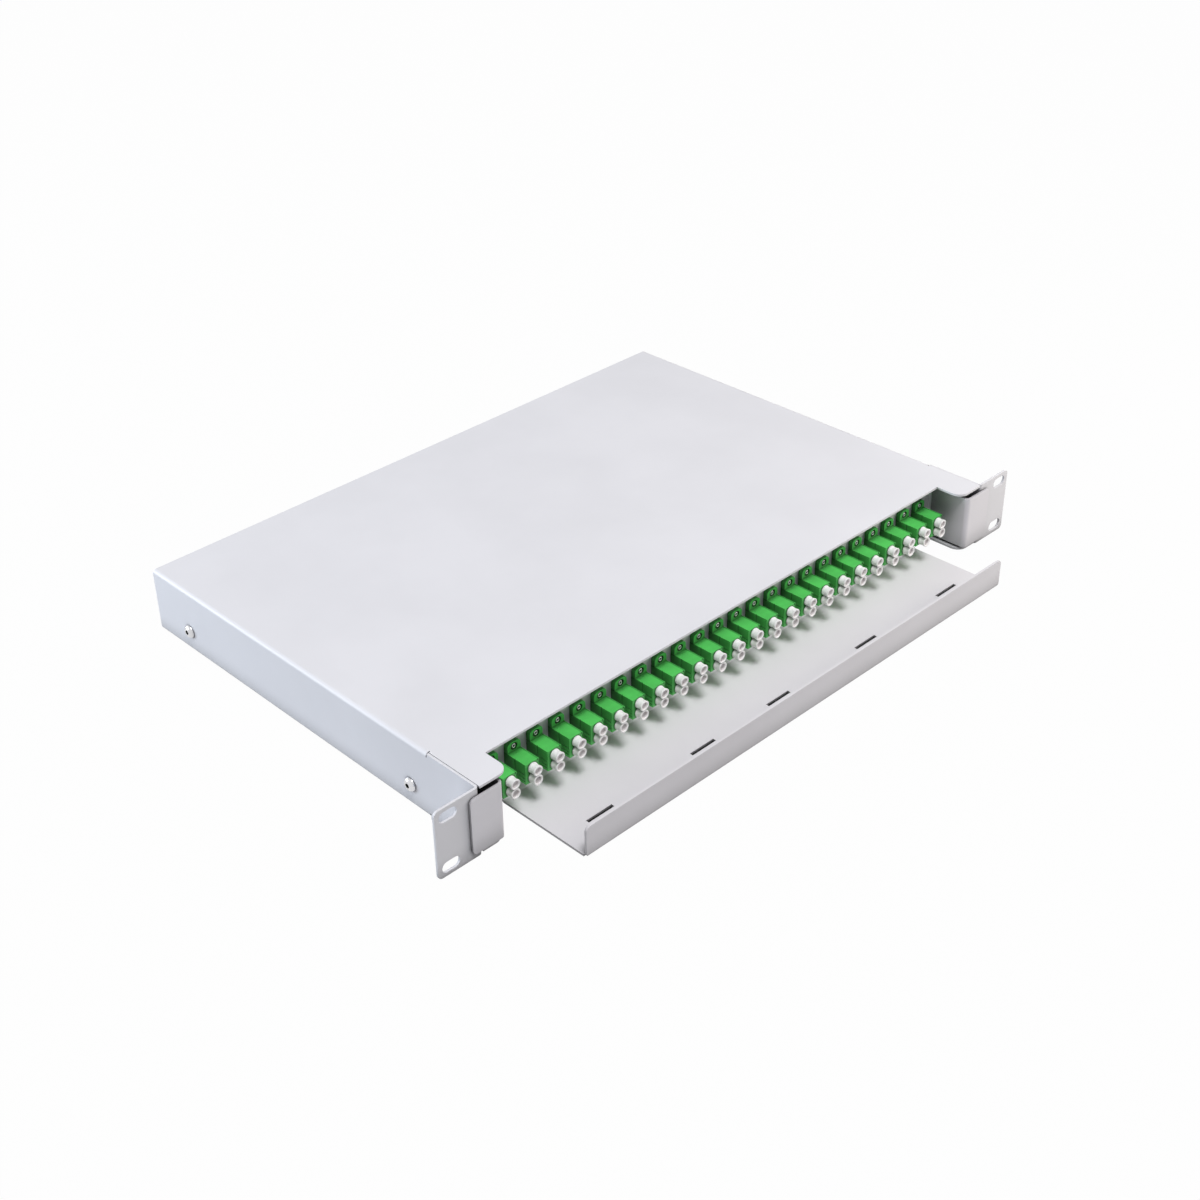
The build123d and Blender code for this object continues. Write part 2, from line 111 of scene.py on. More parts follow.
MARKS = ((-2.6, 21.4), (-0.2, 21.9))
MARK_SIZE = 1.6
MARK_SUNK = 0.1
MARK_HEIGHT = 0.08

# Dust caps: radius and distance from the seat, in millimetres
CAP_SEAT = 10.4
CAP_LEAN = 1.5
CAP_SIDES = 36
# Slot of the dish's greyer copy of the cap plastic, painted shade
CAP_DISH_SHADE_SLOT = 1
CAP_GLOW = 0.4
CAP_GLOW_DEPTH = 3.0
CAP_PROFILE = (
    (0.0, 0.0),
    (2.9, 0.0),
    (3.04, -0.15),
    (3.1, -0.5),
    (3.06, -1.0),
    (2.94, -1.4),
    (2.85, -1.9),
    (2.85, -2.6),
    (2.92, -3.3),
    (3.04, -3.9),
    (3.15, -4.3),
    (3.18, -4.55),
    (3.12, -4.75),
    (2.92, -4.85),
    (2.6, -4.85),
    (2.3, -4.75),
    (2.1, -4.5),
)
CAP_DISH = (
    (2.1, -4.5),
    (2.0, -4.0),
    (1.9, -3.6),
    (1.6, -3.45),
    (0.0, -3.4),
)

# Side screws: radius and distance from the casing's side, in millimetres
SCREW_X = 213.0
SCREW_Y = (54.5, 260.8)
SCREW_Z = -6.5
SCREW_SIDES = 24
SCREW_PROFILE = (
    (4.25, 0.0),
    (4.3, 0.3),
    (4.25, 0.6),
    (3.9, 1.3),
    (3.3, 1.9),
    (2.6, 2.3),
    (2.0, 2.45),
)
SOCKET_SIDES = 6
SOCKET_RADIUS = 1.6
SOCKET_FLOOR = 0.8
# Slot of the socket's near-black painted shade
SOCKET_SLOT = 1

# Rounded edges and the tolerance for points that meet, in millimetres and degrees
SHEET_EDGE = 0.3
SMALL_EDGE = 0.15
SHARP_ANGLE = 30
SMOOTH_ANGLE = 40
EDGE_SEGMENTS = 2
LARGE_FACE_WEIGHT = 100
SAME_SPOT = 0.001

# Looks: shares of a noise where the two shades begin, and the finish of coat and rubber
TINT_LOW = 0.35
TINT_HIGH = 0.65
COAT_ROUGHNESS = 0.42
COAT_SHINE = 0.35
RUBBER_ROUGHNESS = 0.75

# Painted shade in narrow places: reach in millimetres, and share of the colour taken away
COAT_GAP = (2.5, 0.4)
PLASTIC_GAP = (1.2, 0.5)
STEEL_GAP = (2.5, 0.8)
GAP_SAMPLES = 8
OPEN_FROM = 0.25
OPEN_FULLY = 0.95
WALL_INSIDE = 197.0
MIDDLE_RELIEF = 0.62

# The floor: its height, how white it is where seen, and the near-black patches under the object, a painted
# shadow
FLOOR_HALF = 6000.0
FLOOR_LEVEL = -21.5
FLOOR_LIFT = 0.1
FLOOR_GLOW = 0.98
FLOOR_SHADOW_PATCHES = ((-170, 170, -37, 29), (-205, 205, 29, 288))
FLOOR_COLOR = (0.44, 0.44, 0.445)
UNDER_SHADOW_COLOR = (0.03, 0.03, 0.03)
FLOOR_ROUGHNESS = 0.9
FLOOR_SHINE = 0.1

# Light, in metres and watts: a lamp's name, place, aim, size, power and colour
SKY_COLOR = (0.93, 0.96, 1.0)
SKY_STRENGTH = 0.2
CENTRE = (0, 0.12, 0)
WHITE = (1, 1, 1)
LAMPS = (
    ("overhead", (-0.5, -0.9, 2.95), CENTRE, (1.0, 1.0), 68, WHITE),
    ("left", (-1.2, 1.4, 0.35), CENTRE, (0.9, 0.5), 21, (0.80, 0.90, 1.0)),
    ("front_right", (0.6, -0.35, 0.25), (0.2, 0, 0), (0.3, 0.25), 1.8, (1.0, 0.94, 0.84)),
)

# Which node gets which look and which rounded edge
SLIDES = tuple(f"slide_{part}_{side}" for part in ("outer", "middle", "inner") for side in ("left", "right"))
FINISHES = (
    (("casing_shell", "base_plate", "rear_panel", "tie_bars"), "coat", SHEET_EDGE),
    (("adapter_panel",), "panel_coat", SHEET_EDGE),
    (("drawer_tray",), "tray_coat", SHEET_EDGE),
    (SLIDES, "zinc", SMALL_EDGE),
    (("cable_grommets", "slide_buffers"), "rubber", SHEET_EDGE),
    (("cassette_base", "cassette_lid", "fibre_guides"), "black", SHEET_EDGE),
    (("slide_strips", "splice_holders"), "white", SMALL_EDGE),
    (("inner_dust_caps",), "cap", SHEET_EDGE),
)


def material(name, color, roughness, metallic=0.0):
    """A new node material and its main shader."""
    made = bpy.data.materials.new(name)
    made.use_nodes = True
    shader = made.node_tree.nodes["Principled BSDF"]
    shader.inputs["Base Color"].default_value = (*color, 1)
    shader.inputs["Roughness"].default_value = roughness
    shader.inputs["Metallic"].default_value = metallic
    return made, shader


def noise(tree, scale, detail, stretch=(1, 1, 1)):
    """Noise in the object's own coordinates, in cycles a metre."""
    place = tree.nodes.new("ShaderNodeTexCoord")
    mapping = tree.nodes.new("ShaderNodeMapping")
    mapping.inputs["Scale"].default_value = stretch
    texture = tree.nodes.new("ShaderNodeTexNoise")
    texture.inputs["Scale"].default_value = scale
    texture.inputs["Detail"].default_value = detail
    tree.links.new(place.outputs["Object"], mapping.inputs["Vector"])
    tree.links.new(mapping.outputs["Vector"], texture.inputs["Vector"])
    return texture


def tint(tree, shader, source, low, high):
    """Lets a noise move the colour between two close shades."""
    ramp = tree.nodes.new("ShaderNodeValToRGB")
    ramp.color_ramp.elements[0].position = TINT_LOW
    ramp.color_ramp.elements[1].position = TINT_HIGH
    ramp.color_ramp.elements[0].color = (*low, 1)
    ramp.color_ramp.elements[1].color = (*high, 1)
    tree.links.new(source.outputs["Fac"], ramp.inputs["Fac"])
    tree.links.new(ramp.outputs["Color"], shader.inputs["Base Color"])


def vary_roughness(tree, shader, source, low, high):
    """Lets a noise move the roughness between two values."""
    spread = tree.nodes.new("ShaderNodeMapRange")
    spread.inputs["To Min"].default_value = low
    spread.inputs["To Max"].default_value = high
    tree.links.new(source.outputs["Fac"], spread.inputs["Value"])
    tree.links.new(spread.outputs["Result"], shader.inputs["Roughness"])


def bump(tree, shader, source, height, strength):
    """Lets a noise raise the surface by a height in millimetres."""
    relief = tree.nodes.new("ShaderNodeBump")
    relief.inputs["Strength"].default_value = strength
    relief.inputs["Distance"].default_value = height * MM
    tree.links.new(source.outputs["Fac"], relief.inputs["Height"])
    tree.links.new(relief.outputs["Normal"], shader.inputs["Normal"])


def calculate(tree, operation, first, second=None):
    """The result of one operation on an output and a second output or a number."""
    node = tree.nodes.new("ShaderNodeMath")
    node.operation = operation
    tree.links.new(first, node.inputs[0])
    if isinstance(second, float):
        node.inputs[1].default_value = second
    elif second is not None:
        tree.links.new(second, node.inputs[1])
    return node.outputs[0]


def open_middle(tree, shade):
    """Takes most of the painted shade away between the side walls of the drawer."""
    place = tree.nodes.new("ShaderNodeTexCoord")
    split = tree.nodes.new("ShaderNodeSeparateXYZ")
    tree.links.new(place.outputs["Object"], split.inputs[0])
    away = calculate(tree, "ABSOLUTE", split.outputs["X"])
    inside = calculate(tree, "LESS_THAN", away, WALL_INSIDE * MM)
    mix = tree.nodes.new("ShaderNodeMix")
    mix.inputs["B"].default_value = 1.0
    tree.links.new(calculate(tree, "MULTIPLY", inside, MIDDLE_RELIEF), mix.inputs["Factor"])
    tree.links.new(shade, mix.inputs["A"])
    return mix.outputs["Result"]


def paint_gap_shade(tree, shader, reach, depth, middle=False):
    """Paints shade into the colour where other surfaces come within a reach in millimetres."""
    near = tree.nodes.new("ShaderNodeAmbientOcclusion")
    near.samples = GAP_SAMPLES
    near.inputs["Distance"].default_value = reach * MM
    share = tree.nodes.new("ShaderNodeMapRange")
    share.inputs["From Min"].default_value = OPEN_FROM
    share.inputs["From Max"].default_value = OPEN_FULLY
    share.inputs["To Min"].default_value = 1.0 - depth
    share.inputs["To Max"].default_value = 1.0
    darker = tree.nodes.new("ShaderNodeVectorMath")
    darker.operation = "SCALE"
    colour = shader.inputs["Base Color"].links[0].from_socket
    tree.links.new(near.outputs["AO"], share.inputs["Value"])
    tree.links.new(colour, darker.inputs[0])
    shade = open_middle(tree, share.outputs["Result"]) if middle else share.outputs["Result"]
    tree.links.new(shade, darker.inputs["Scale"])
    tree.links.new(darker.outputs["Vector"], shader.inputs["Base Color"])


def scaled(color, factor):
    """A colour times a factor, kept within white."""
    return tuple(min(1.0, c * factor) for c in color)


def structure(tree, shader, color, patches, shades, grain, height, strength, haze=None, roughness=None):
    """Fine structure: patches of two shades, uneven roughness, and a grain with a height in millimetres."""
    tint(tree, shader, noise(tree, *patches), scaled(color, shades[0]), scaled(color, shades[1]))
    if haze:
        vary_roughness(tree, shader, noise(tree, *haze), *roughness)
    bump(tree, shader, noise(tree, *grain), height, strength)


def powder_coat(name, color, reach=14, depth=0.6, middle=False):
    """Pale grey powder coat: a fine orange-peel skin over bent sheet steel."""
    made, shader = material(name, color, COAT_ROUGHNESS)
    shader.inputs["Specular IOR Level"].default_value = COAT_SHINE
    tree = made.node_tree
    structure(
        tree, shader, color,
        patches=(14, 4), shades=(0.975, 1.02),
        haze=(60, 3), roughness=(0.36, 0.50),
        grain=(1400, 2), height=0.02, strength=0.5,
    )
    # Painted shade where other surfaces come near, wide and then narrow
    paint_gap_shade(tree, shader, reach, depth, middle)
    paint_gap_shade(tree, shader, *COAT_GAP)
    return made


def plastic(name, color, roughness, reach=3.0, depth=0.3):
    """Moulded plastic with a faint grain."""
    made, shader = material(name, color, roughness)
    tree = made.node_tree
    structure(
        tree, shader, color,
        patches=(120, 3), shades=(0.93, 1.07),
        haze=(300, 2), roughness=(roughness - 0.05, roughness + 0.06),
        grain=(2500, 2), height=0.01, strength=0.4,
    )
    # Painted shade where other surfaces come near, wide and then narrow
    paint_gap_shade(tree, shader, reach, depth)
    paint_gap_shade(tree, shader, *PLASTIC_GAP)
    return made


def soft_plastic(name, color, roughness, depth):
    """Pale soft plastic that lets a little light through."""
    made = plastic(name, color, roughness, reach=2.5, depth=depth)
    shader = made.node_tree.nodes["Principled BSDF"]
    shader.inputs["Subsurface Weight"].default_value = CAP_GLOW
    shader.inputs["Subsurface Radius"].default_value = (1.0, 1.0, 1.0)
    shader.inputs["Subsurface Scale"].default_value = CAP_GLOW_DEPTH * MM
    return made


def steel(name, color, roughness):
    """Plated steel, drawn along its length."""
    made, shader = material(name, color, roughness, 1.0)
    tree = made.node_tree
    structure(
        tree, shader, color,
        patches=(80, 3), shades=(0.9, 1.08),
        haze=(200, 3, (8, 1, 8)), roughness=(roughness - 0.08, roughness + 0.1),
        grain=(900, 2, (6, 0.4, 6)), height=0.004, strength=0.5,
    )
    # Painted shade where other surfaces come near
    paint_gap_shade(tree, shader, *STEEL_GAP)
    return made


def rubber(name, color):
    """Dull black rubber."""
    made, shader = material(name, color, RUBBER_ROUGHNESS)
    structure(
        made.node_tree, shader, color,
        patches=(90, 4), shades=(0.8, 1.3),
        grain=(1800, 3), height=0.02, strength=0.6,
    )
    return made


def dress(node, look):
    """Gives a CAD node its material."""
    node.data.materials.clear()
    node.data.materials.append(look)


def round_edges(piece, width, angle):
    """Rounds the edges that are sharper than an angle, by a width in millimetres."""
    edge = piece.modifiers.new("edge", "BEVEL")
    edge.width = width * MM
    edge.segments = EDGE_SEGMENTS
    edge.limit_method = "ANGLE"
    edge.angle_limit = math.radians(angle)


def soften(node, width):
    """Rounds a node's sharp edges by a width in millimetres and keeps its flat faces even."""
    weld = node.modifiers.new("weld", "WELD")
    weld.merge_threshold = SAME_SPOT * MM
    round_edges(node, width, SHARP_ANGLE)
    shade_by_angle(node, SMOOTH_ANGLE)
    even = node.modifiers.new("even", "WEIGHTED_NORMAL")
    even.weight = LARGE_FACE_WEIGHT
    even.keep_sharp = True


def shade_by_angle(piece, angle):
    """Smooth shading that keeps edges sharper than the angle."""
    for face in piece.data.polygons:
        face.use_smooth = True
    piece.data.set_sharp_from_angle(angle=math.radians(angle))


def mesh_object(name, bm, looks):
    """An object from a bmesh in millimetres."""
    bmesh.ops.recalc_face_normals(bm, faces=bm.faces)
    bm.transform(Matrix.Scale(MM, 4))
    data = bpy.data.meshes.new(name)
    bm.to_mesh(data)
    bm.free()
    for look in looks:
        data.materials.append(look)
    made = bpy.data.objects.new(name, data)
    bpy.context.scene.collection.objects.link(made)
    return made


def cells(bm, xs, ys, zs, solid):
    """The skin of the cells of a grid that are solid, with shared corners."""
    corners = {}

    def corner(i, j, k):
        """The one vertex at a crossing of the grid."""
        key = (i, j, k)
        if key not in corners:
            corners[key] = bm.verts.new((xs[i], ys[j], zs[k]))
        return corners[key]

    counts = (len(xs) - 1, len(ys) - 1, len(zs) - 1)

    def filled(i, j, k):
        """Whether a cell lies in the grid and is solid at its middle."""
        inside = 0 <= i < counts[0] and 0 <= j < counts[1] and 0 <= k < counts[2]
        if not inside:
            return False
        middle = ((xs[i] + xs[i + 1]) / 2, (ys[j] + ys[j + 1]) / 2, (zs[k] + zs[k + 1]) / 2)
        return solid(*middle)

    sides = (
        ((-1, 0, 0), ((0, 0, 0), (0, 0, 1), (0, 1, 1), (0, 1, 0))),
        ((1, 0, 0), ((1, 0, 0), (1, 1, 0), (1, 1, 1), (1, 0, 1))),
        ((0, -1, 0), ((0, 0, 0), (1, 0, 0), (1, 0, 1), (0, 0, 1))),
        ((0, 1, 0), ((0, 1, 0), (0, 1, 1), (1, 1, 1), (1, 1, 0))),
        ((0, 0, -1), ((0, 0, 0), (0, 1, 0), (1, 1, 0), (1, 0, 0))),
        ((0, 0, 1), ((0, 0, 1), (1, 0, 1), (1, 1, 1), (0, 1, 1))),
    )
    for i in range(counts[0]):
        for j in range(counts[1]):
            for k in range(counts[2]):
                if not filled(i, j, k):
                    continue
                for (a, b, c), square in sides:
                    if filled(i + a, j + b, k + c):
                        continue
                    bm.faces.new([corner(i + p, j + q, k + r) for p, q, r in square])


def lathe(bm, profile, segments, place, axis="Y", slot=0):
    """A turned shape: (radius, distance) points swept round an axis through the place."""
    rings = []
    for radius, along in profile:
        ring = []
        for step in range(segments):
            turn = 2 * math.pi * step / segments
            a = radius * math.cos(turn)
            b = radius * math.sin(turn)
            spot = (a, along, b) if axis == "Y" else (along, a, b)
            if radius == 0 and ring:
                ring.append(ring[0])
            else:
                ring.append(bm.verts.new(Vector(spot) + Vector(place)))
        rings.append(ring)
    for low, high in zip(rings, rings[1:]):
        for step in range(segments):
            after = (step + 1) % segments
            loop = [low[step], low[after], high[after], high[step]]
            loop = [v for i, v in enumerate(loop) if v not in loop[:i]]
            if len(loop) > 2:
                face = bm.faces.new(loop)
                face.material_index = slot
                face.smooth = True


def within(value, low, high):
    """Whether a value lies between two others."""
    return low < value < high


def adapter_solid(x, y, z):
    """Whether a point of one adapter's body, centred on x 0, is plastic."""
    skin = abs(x) > BODY_HALF_WIDTH - GROOVE_DEPTH
    if skin and within(y, SEAM_FRONT, SEAM_BACK):
        return False
    groove = any(within(z, low, high) for low, high in RIDGE_GROOVES)
    if skin and groove and within(y, RIDGE_FRONT, RIDGE_BACK):
        return False
    port = y < BODY_FRONT + PORT_SHOWN
    near = abs(abs(z) - PORT_RISE) < PORT_HALF
    if port and near and abs(x) < PORT_HALF:
        return False
    way = abs(abs(z) - PORT_RISE) < LATCH_HALF and within(x, 0, PORT_HALF + LATCH_HEIGHT)
    return not (port and way)


def adapter_body(bm, shift):
    """The moulded body with its ports, seam and latch ridges."""
    edge = BODY_HALF_WIDTH
    port = PORT_HALF
    xs = [-edge, GROOVE_DEPTH - edge, -port, port, port + LATCH_HEIGHT, edge - GROOVE_DEPTH, edge]
    ys = [BODY_FRONT, RIDGE_FRONT, BODY_FRONT + PORT_SHOWN, RIDGE_BACK, SEAM_FRONT, SEAM_BACK, BODY_BACK]
    zs = {-BODY_HALF_HEIGHT, BODY_HALF_HEIGHT}
    for middle in (-PORT_RISE, PORT_RISE):
        zs |= {middle - port, middle - LATCH_HALF, middle + LATCH_HALF, middle + port}
    for groove in RIDGE_GROOVES:
        zs |= set(groove)
    placed = [x + shift for x in xs]
    cells(bm, placed, ys, sorted(zs), lambda x, y, z: adapter_solid(x - shift, y, z))


def tab_outline():
    """The corner points of a flange tab seen from the front, about its rivet."""
    wide = BODY_HALF_WIDTH
    high = FLANGE_HALF_HEIGHT - RIVET_RISE
    low = BODY_HALF_HEIGHT - TAB_ROOT - RIVET_RISE

    def corner(side, start):
        """The points of one round upper corner, from a number of quarter turns on."""
        turns = [math.pi / 2 * (start + step / TAB_CORNER_STEPS) for step in range(TAB_CORNER_STEPS + 1)]
        middle = side * (wide - TAB_CORNER)
        return [
            (middle + TAB_CORNER * math.cos(turn), high - TAB_CORNER + TAB_CORNER * math.sin(turn))
            for turn in turns
        ]

    right = [(wide, low), (wide, low / 2), (wide, 0.0)]
    left = [(-wide, 0.0), (-wide, low / 2), (-wide, low)]
    foot = [(-wide / 3, low), (wide / 3, low)]
    return right + corner(1, 0) + [(0.0, high)] + corner(-1, 1) + left + foot


def flange_tab(bm, shift, side):
    """Half of the mounting flange, with the round recess its rivet sits in."""
    front = PANEL_FRONT - FLANGE_THICK
    points = tab_outline()
    outer = []
    for y in (front, PANEL_FRONT):
        outer.append([bm.verts.new((shift + x, y, side * (RIVET_RISE + z))) for x, z in points])
    rims = []
    for y in (front, front + RECESS_DEPTH):
        rim = []
        for x, z in points:
            reach = RECESS_RADIUS / math.hypot(x, z)
            rim.append(bm.verts.new((shift + x * reach, y, side * (RIVET_RISE + z * reach))))
        rims.append(rim)
    count = len(points)
    for a, b in ((outer[1], outer[0]), (outer[0], rims[0]), (rims[0], rims[1])):
        for i in range(count):
            j = (i + 1) % count
            bm.faces.new((a[i], a[j], b[j], b[i]))
    bm.faces.new(outer[1])
    # The recess floor round the rivet takes the near-black painted shade
    bm.faces.new(rims[1]).material_index = HOLLOW_SHADE_SLOT


def top_rim(bm, shift):
    """The thin rim along the body's right top edge, hooked over the front."""
    edge = BODY_HALF_WIDTH
    top = BODY_HALF_HEIGHT
    xs = [edge - RIM_WIDTH + shift, edge + shift]
    ys = [BODY_FRONT - RIM_HOOK, BODY_FRONT, PANEL_FRONT - FLANGE_THICK]
    zs = [top - RIM_DROP, top, top + RIM_HEIGHT]
    cells(bm, xs, ys, zs, lambda x, y, z: z > top or y < BODY_FRONT)


def mould_marks(bm, shift):
    """Two small raised gate marks on top of the body, near the flange."""
    zs = [BODY_HALF_HEIGHT - MARK_SUNK, BODY_HALF_HEIGHT + MARK_HEIGHT]
    for x, y in MARKS:
        xs = [x + shift, x + shift + MARK_SIZE]
        cells(bm, xs, [y, y + MARK_SIZE / 2], zs, lambda x, y, z: True)


def adapter_bank(name, looks):
    """Four adapters with their rivets, side by side, the first at x 0."""
    bm = bmesh.new()
    for step in range(BANK_SIZE):
        shift = step * ADAPTER_PITCH
        adapter_body(bm, shift)
        top_rim(bm, shift)
        mould_marks(bm, shift)
        for side in (-1, 1):
            flange_tab(bm, shift, side)
            rivet(bm, (shift, PANEL_FRONT - FLANGE_THICK + RECESS_DEPTH, side * RIVET_RISE))
    piece = mesh_object(name, bm, looks)
    round_edges(piece, BODY_EDGE, BODY_EDGE_ANGLE)
    return piece


def rivet(bm, place):
    """A hollow rivet: a rolled ring round a bore with a near-black disc as painted shade."""
    lathe(bm, RIVET_PROFILE, RIVET_SIDES, place, slot=RIVET_SLOT)
    lathe(bm, RIVET_BORE, RIVET_SIDES, place, slot=HOLLOW_SHADE_SLOT)


def caps(name, looks):
    """The two turned caps of one adapter, at x 0, leaning slightly together."""
    bm = bmesh.new()
    for side in (-1, 1):
        cup = bmesh.new()
        lathe(cup, CAP_PROFILE, CAP_SIDES, (0, 0, 0))
        # The dish takes a greyer copy of the cap's plastic as painted shade
        lathe(cup, CAP_DISH, CAP_SIDES, (0, 0, 0), slot=CAP_DISH_SHADE_SLOT)
        bmesh.ops.remove_doubles(cup, verts=cup.verts, dist=SAME_SPOT)
        cup.transform(Matrix.Rotation(math.radians(CAP_LEAN) * side, 4, "X"))
        cup.transform(Matrix.Translation((0, CAP_SEAT, side * PORT_RISE)))
        spare = bpy.data.meshes.new("spare")
        cup.to_mesh(spare)
        cup.free()
        bm.from_mesh(spare)
        bpy.data.meshes.remove(spare)
    return mesh_object(name, bm, looks)


def camera():
    """The camera at the photograph's place and angle."""
    azimuth = math.radians(CAMERA_AZIMUTH)
    elevation = math.radians(CAMERA_ELEVATION)
    roll = math.radians(CAMERA_ROLL)
    back = Vector((
        math.sin(azimuth) * math.cos(elevation),
        -math.cos(azimuth) * math.cos(elevation),
        math.sin(elevation),
    ))
    level = (-back).cross(Vector((0, 0, 1))).normalized()
    rise = level.cross(-back)
    right = level * math.cos(roll) + rise * math.sin(roll)
    up = rise * math.cos(roll) - level * math.sin(roll)
    data = bpy.data.cameras.new("camera")
    data.sensor_width = SENSOR
    data.lens = CAMERA_FOCAL / PHOTO * SENSOR
    data.shift_x = (PHOTO / 2 - CAMERA_CENTRE[0]) / PHOTO
    data.shift_y = (CAMERA_CENTRE[1] - PHOTO / 2) / PHOTO
    data.clip_start = CLIP_START
    data.clip_end = CLIP_END
    made = bpy.data.objects.new("camera", data)
    turn = Matrix((right, up, back)).transposed().to_4x4()
    made.matrix_world = Matrix.Translation(Vector(CAMERA_PLACE) * MM) @ turn
    bpy.context.scene.collection.objects.link(made)
    bpy.context.scene.camera = made


def seen_by(tree):
    """One for rays that see the background: camera, glossy and transmission rays."""
    path = tree.nodes.new("ShaderNodeLightPath")
    plain = calculate(tree, "MAXIMUM", path.outputs["Is Camera Ray"], path.outputs["Is Glossy Ray"])
    return calculate(tree, "MAXIMUM", plain, path.outputs["Is Transmission Ray"])


def world(color, strength):
    """A soft sky for the light, white where it is seen."""
    made = bpy.data.worlds.new("world")
    made.use_nodes = True
    tree = made.node_tree
    light = tree.nodes["Background"]
    light.inputs["Color"].default_value = (*color, 1)
    light.inputs["Strength"].default_value = strength
    white = tree.nodes.new("ShaderNodeBackground")
    white.inputs["Color"].default_value = (*WHITE, 1)
    white.inputs["Strength"].default_value = 1.0
    mix = tree.nodes.new("ShaderNodeMixShader")
    tree.links.new(seen_by(tree), mix.inputs["Fac"])
    tree.links.new(light.outputs[0], mix.inputs[1])
    tree.links.new(white.outputs[0], mix.inputs[2])
    tree.links.new(mix.outputs[0], tree.nodes["World Output"].inputs["Surface"])
    bpy.context.scene.world = made


def lamp(name, place, target, size, power, color):
    """A soft rectangular lamp aimed at a point, in metres and watts."""
    data = bpy.data.lights.new(name, "AREA")
    data.shape = "RECTANGLE"
    data.size, data.size_y = size
    data.energy = power
    data.color = color
    made = bpy.data.objects.new(name, data)
    made.location = place
    aim = Vector(target) - Vector(place)
    made.rotation_euler = aim.to_track_quat("-Z", "Y").to_euler()
    bpy.context.scene.collection.objects.link(made)


def flat(bm, patch, height):
    """A level rectangle from its least and greatest x and y."""
    x0, x1, y0, y1 = patch
    spots = [(x0, y0), (x1, y0), (x1, y1), (x0, y1)]
    bm.faces.new([bm.verts.new((x, y, height)) for x, y in spots])


def floor():
    """A plain pale floor that keeps the shadow, with near-black patches right under the object as painted
    shadow.
    """
    bm = bmesh.new()
    flat(bm, (-FLOOR_HALF, FLOOR_HALF, -FLOOR_HALF, FLOOR_HALF), FLOOR_LEVEL)
    # Near-black patches under the object: painted shadow
    under = bmesh.new()
    for patch in FLOOR_SHADOW_PATCHES:
        flat(under, patch, FLOOR_LEVEL + FLOOR_LIFT)
    shade, matt = material("floor_painted_shadow_look", UNDER_SHADOW_COLOR, FLOOR_ROUGHNESS)
    matt.inputs["Specular IOR Level"].default_value = FLOOR_SHINE
    mesh_object("floor_painted_shadow", under, [shade])
    look, shader = material("floor_look", FLOOR_COLOR, FLOOR_ROUGHNESS)
    shader.inputs["Specular IOR Level"].default_value = FLOOR_SHINE
    tree = look.node_tree
    glow = tree.nodes.new("ShaderNodeEmission")
    glow.inputs["Color"].default_value = (*WHITE, 1)
    glow.inputs["Strength"].default_value = 1.0
    mix = tree.nodes.new("ShaderNodeMixShader")
    tree.links.new(calculate(tree, "MULTIPLY", seen_by(tree), FLOOR_GLOW), mix.inputs["Fac"])
    tree.links.new(shader.outputs[0], mix.inputs[1])
    tree.links.new(glow.outputs[0], mix.inputs[2])
    tree.links.new(mix.outputs[0], tree.nodes["Material Output"].inputs["Surface"])
    mesh_object("floor", bm, [look])


def lights():
    """A soft sky, a large lamp above and two weaker ones at the sides."""
    world(SKY_COLOR, SKY_STRENGTH)
    for name, place, target, size, power, color in LAMPS:
        lamp(name, place, target, size, power, color)


def finish_nodes(nodes, looks):
    """Materials and softened edges for the CAD nodes that stay."""
    for names, look, edge in FINISHES:
        for name in names:
            dress(nodes[name], looks[look])
            soften(nodes[name], edge)


def screw_head(bm, place, side):
    """A button head with a hexagon socket, pointing outward from one side."""
    profile = [(r, side * along) for r, along in SCREW_PROFILE]
    lathe(bm, profile, SCREW_SIDES, place, axis="X")
    top_radius, top_along = SCREW_PROFILE[-1]
    around = [2 * math.pi * step / SCREW_SIDES for step in range(SCREW_SIDES)]
    hexagon = around[::SCREW_SIDES // SOCKET_SIDES]

    def ring(angles, radius, along):
        """Vertices at some angles on a circle round the screw's axis."""
        spots = [(side * along, radius * math.cos(turn), radius * math.sin(turn)) for turn in angles]
        return [bm.verts.new(Vector(spot) + Vector(place)) for spot in spots]

    rim = ring(around, top_radius, top_along)
    edge = ring(hexagon, SOCKET_RADIUS, top_along)
    base = ring(hexagon, SOCKET_RADIUS, SOCKET_FLOOR)
    half = SCREW_SIDES // (2 * SOCKET_SIDES)
    for step in range(SCREW_SIDES):
        nearest = edge[(step + half) // (2 * half) % SOCKET_SIDES]
        bm.faces.new((rim[step], rim[(step + 1) % SCREW_SIDES], nearest))
    # Socket walls and floor take the near-black painted shade
    for k in range(SOCKET_SIDES):
        after = (k + 1) % SOCKET_SIDES
        bm.faces.new((edge[k], rim[(2 * k + 1) * half], edge[after]))
        bm.faces.new((edge[k], edge[after], base[after], base[k])).material_index = SOCKET_SLOT
    bm.faces.new(base).material_index = SOCKET_SLOT
    bmesh.ops.remove_doubles(bm, verts=bm.verts, dist=SAME_SPOT)


def side_screws(looks):
    """The four button-head screws in the casing's sides."""
    bm = bmesh.new()
    for side in (-1, 1):
        for y in SCREW_Y:
            screw_head(bm, (side * SCREW_X, y, SCREW_Z), side)
    piece = mesh_object("side_screw_heads", bm, [looks["screw"], looks["dark"]])
    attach(piece, "root")
    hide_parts("side_screws")


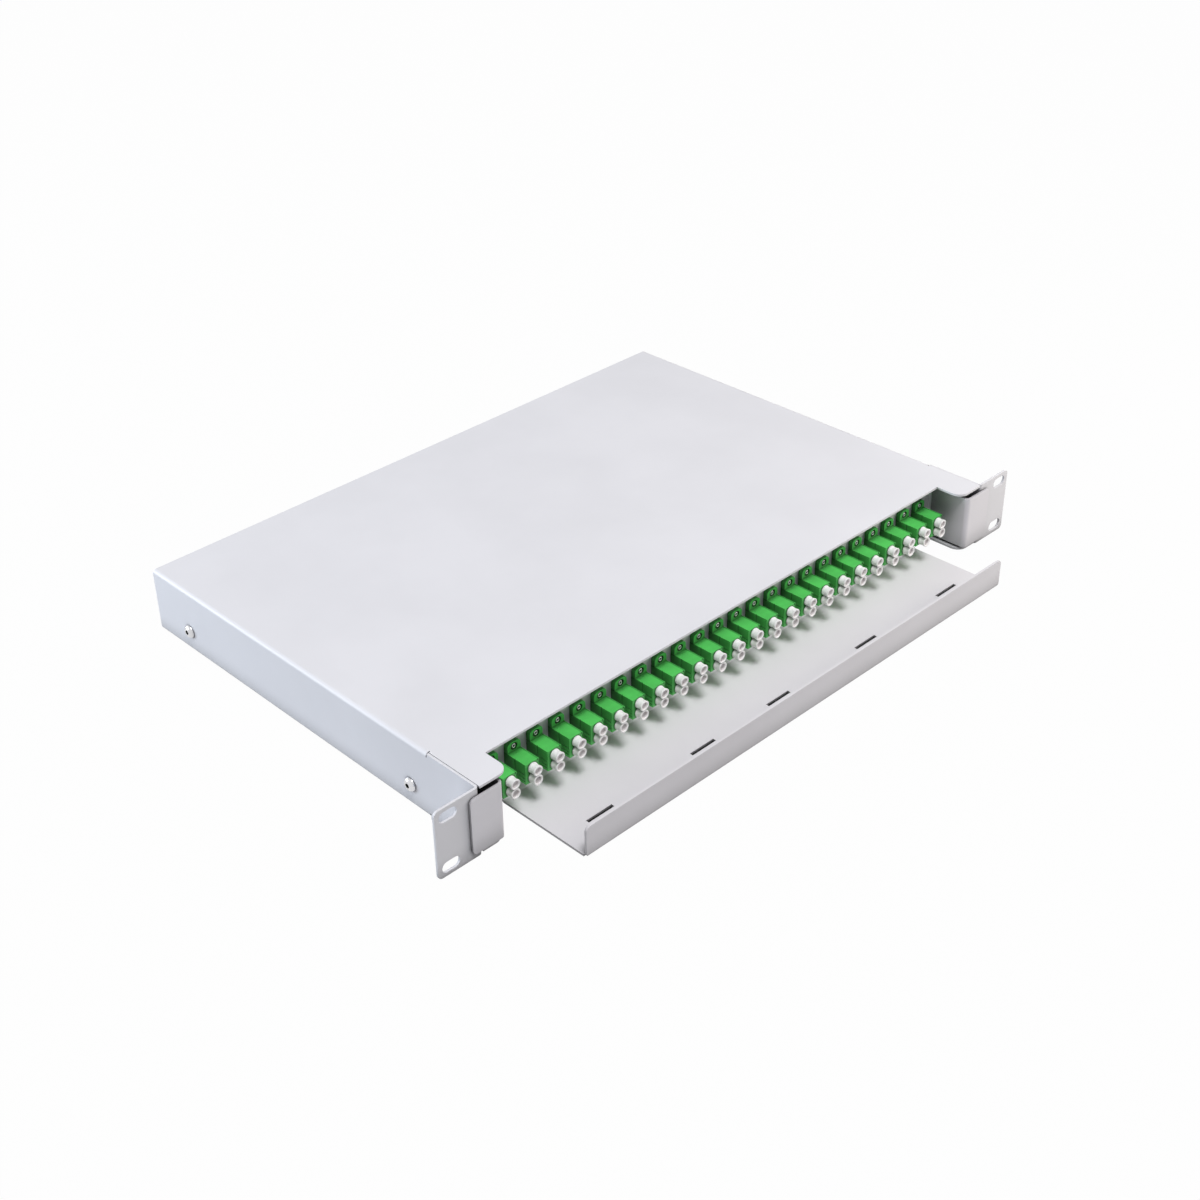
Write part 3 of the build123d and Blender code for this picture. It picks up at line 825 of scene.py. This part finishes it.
def row_of_adapters(looks):
    """The six banks of adapters, all sharing one mesh."""
    first = -ADAPTER_PITCH * (ADAPTER_COUNT - 1) / 2
    bank = adapter_bank("adapter_bank_1", [looks["green"], looks["rivet"], looks["dark"]])
    for number in range(ADAPTER_COUNT // BANK_SIZE):
        piece = bank if number == 0 else bank.copy()
        if number:
            piece.name = f"adapter_bank_{number + 1}"
            bpy.context.scene.collection.objects.link(piece)
        piece.location.x = (first + number * BANK_SIZE * ADAPTER_PITCH) * MM
        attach(piece, "drawer")
        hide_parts(f"adapters_{number + 1}")


def row_of_caps(looks):
    """Every pair of dust caps, each riding on its own body."""
    first = -ADAPTER_PITCH * (ADAPTER_COUNT - 1) / 2
    pair = caps("cap_pair_01", [looks["cap"], looks["cap_dish_shade"]])
    for number in range(1, ADAPTER_COUNT + 1):
        piece = pair if number == 1 else pair.copy()
        if number > 1:
            piece.name = f"cap_pair_{number:02d}"
            bpy.context.scene.collection.objects.link(piece)
        piece.location.x = (first + (number - 1) * ADAPTER_PITCH) * MM
        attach(piece, f"dust_caps_{number:02d}")
        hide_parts(f"dust_caps_{number:02d}")


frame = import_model()
looks = {
    "coat": powder_coat("powder_coat_look", (0.76, 0.75, 0.785)),
    # A little darker than the casing's coat: painted shade that tones down the light on the tray
    "tray_coat": powder_coat("tray_coat_look", (0.755, 0.735, 0.77)),
    # The panel's coat with deeper painted shade, mostly taken away inside the drawer's side walls
    "panel_coat": powder_coat("panel_coat_look", (0.77, 0.75, 0.79), 20, 0.75, True),
    "zinc": steel("zinc_look", (0.62, 0.63, 0.65), 0.35),
    "screw": steel("screw_look", (0.72, 0.72, 0.74), 0.18),
    "rivet": steel("rivet_look", (0.60, 0.60, 0.60), 0.35),
    # Deep painted shade on the adapters where neighbours and the panel come near
    "green": plastic("green_look", (0.088, 0.56, 0.108), 0.45, reach=9.0, depth=0.75),
    "cap": soft_plastic("cap_look", (0.98, 0.95, 0.95), 0.42, 0.1),
    # A greyer copy of the cap's plastic for the dish inside: painted shade
    "cap_dish_shade": soft_plastic("cap_dish_shade_look", (0.78, 0.74, 0.74), 0.5, 0.15),
    "black": plastic("black_look", (0.025, 0.025, 0.028), 0.45),
    "white": plastic("white_look", (0.80, 0.80, 0.79), 0.45),
    # Near-black painted shade for the rivet bores, the recess floors and the screw sockets
    "dark": plastic("hollow_shade_look", (0.012, 0.02, 0.012), 0.7),
    "rubber": rubber("rubber_look", (0.02, 0.02, 0.02)),
}
finish_nodes(frame["nodes"], looks)
side_screws(looks)
row_of_adapters(looks)
row_of_caps(looks)
floor()
lights()
camera()
bpy.context.scene.view_settings.view_transform = "Standard"
